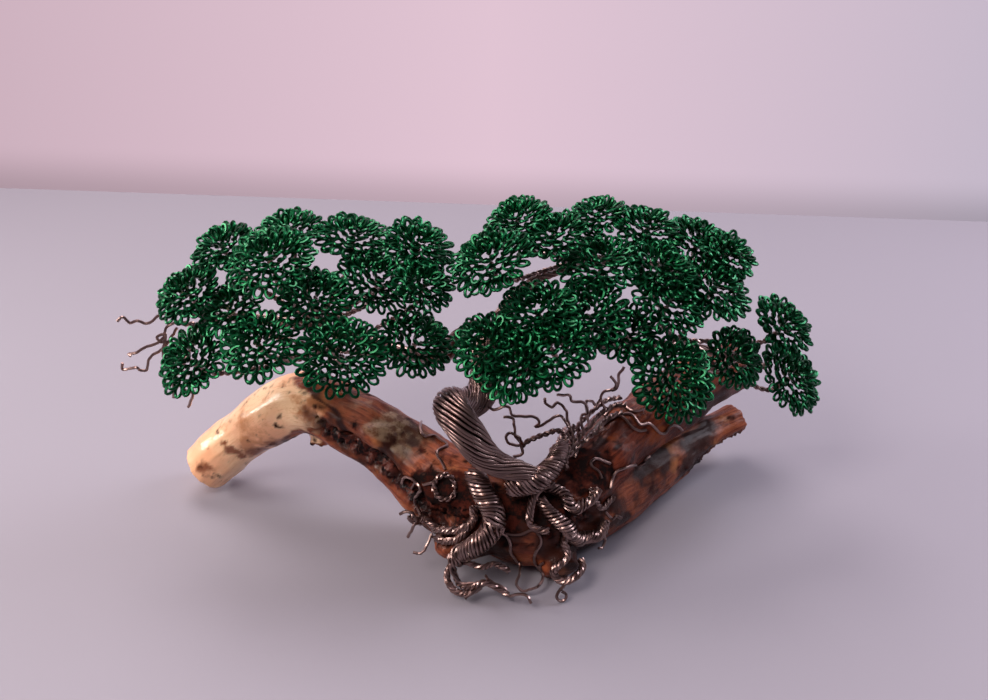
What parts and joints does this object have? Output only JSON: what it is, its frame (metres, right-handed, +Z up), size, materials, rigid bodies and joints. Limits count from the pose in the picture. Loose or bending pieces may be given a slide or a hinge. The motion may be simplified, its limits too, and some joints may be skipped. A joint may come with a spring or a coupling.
{
  "type": "wire tree on driftwood",
  "caption": "Small wire-craft bonsai tree: twisted brown wire trunk and roots wrapped on a forked varnished driftwood branch, with domed rosettes of green wire loops.",
  "frame": {"origin": "middle of the object's footprint, on the surface that it stands on", "axes": "+X to the right along the length, as seen from the front; +Y away from the front; +Z up"},
  "size_m": [0.2693, 0.1171, 0.1191],
  "materials": {
    "brown_wire": "dark bronze-brown coloured craft wire, semi-gloss",
    "green_wire": "emerald green coloured craft wire, glossy",
    "driftwood": "weathered branch, red-brown and pale tan, varnished satin to gloss"
  },
  "bodies": {
    "root": {"trunk_sweep": "brown_wire", "trunk_neck": "brown_wire", "branch_left": "brown_wire", "branch_right": "brown_wire", "branch_back": "brown_wire", "root_coil": "brown_wire", "root_belt": "brown_wire", "root_side": "brown_wire", "root_spur": "brown_wire", "root_fan": "brown_wire", "root_left": "brown_wire", "root_toe": "brown_wire", "root_ring": "brown_wire", "tip_upright": "brown_wire", "tip_loop": "brown_wire", "tip_front": "brown_wire", "dead_twig_upper": "brown_wire", "dead_twig_middle": "brown_wire", "dead_twig_lower": "brown_wire", "twigs_left_upper": "brown_wire", "twigs_left_lower": "brown_wire", "twigs_right_upper": "brown_wire", "twigs_right_outer": "brown_wire", "twigs_right_lower": "brown_wire", "driftwood": "driftwood", "rosette_left_01": "green_wire", "rosette_left_02": "green_wire", "rosette_left_03": "green_wire", "rosette_left_04": "green_wire", "rosette_left_05": "green_wire", "rosette_left_06": "green_wire", "rosette_left_07": "green_wire", "rosette_left_08": "green_wire", "rosette_left_09": "green_wire", "rosette_left_10": "green_wire", "rosette_left_11": "green_wire", "rosette_left_12": "green_wire", "rosette_left_13": "green_wire", "rosette_left_14": "green_wire", "rosette_right_01": "green_wire", "rosette_right_02": "green_wire", "rosette_right_03": "green_wire", "rosette_right_04": "green_wire", "rosette_right_05": "green_wire", "rosette_right_06": "green_wire", "rosette_right_07": "green_wire", "rosette_right_08": "green_wire", "rosette_right_09": "green_wire", "rosette_right_10": "green_wire", "rosette_right_11": "green_wire", "rosette_right_12": "green_wire", "rosette_right_13": "green_wire", "rosette_right_14": "green_wire", "rosette_right_15": "green_wire", "rosette_right_16": "green_wire", "rosette_right_17": "green_wire", "rosette_right_18": "green_wire", "rosette_right_19": "green_wire", "rosette_right_20": "green_wire", "rosette_right_21": "green_wire"}
  },
  "joints": []
}
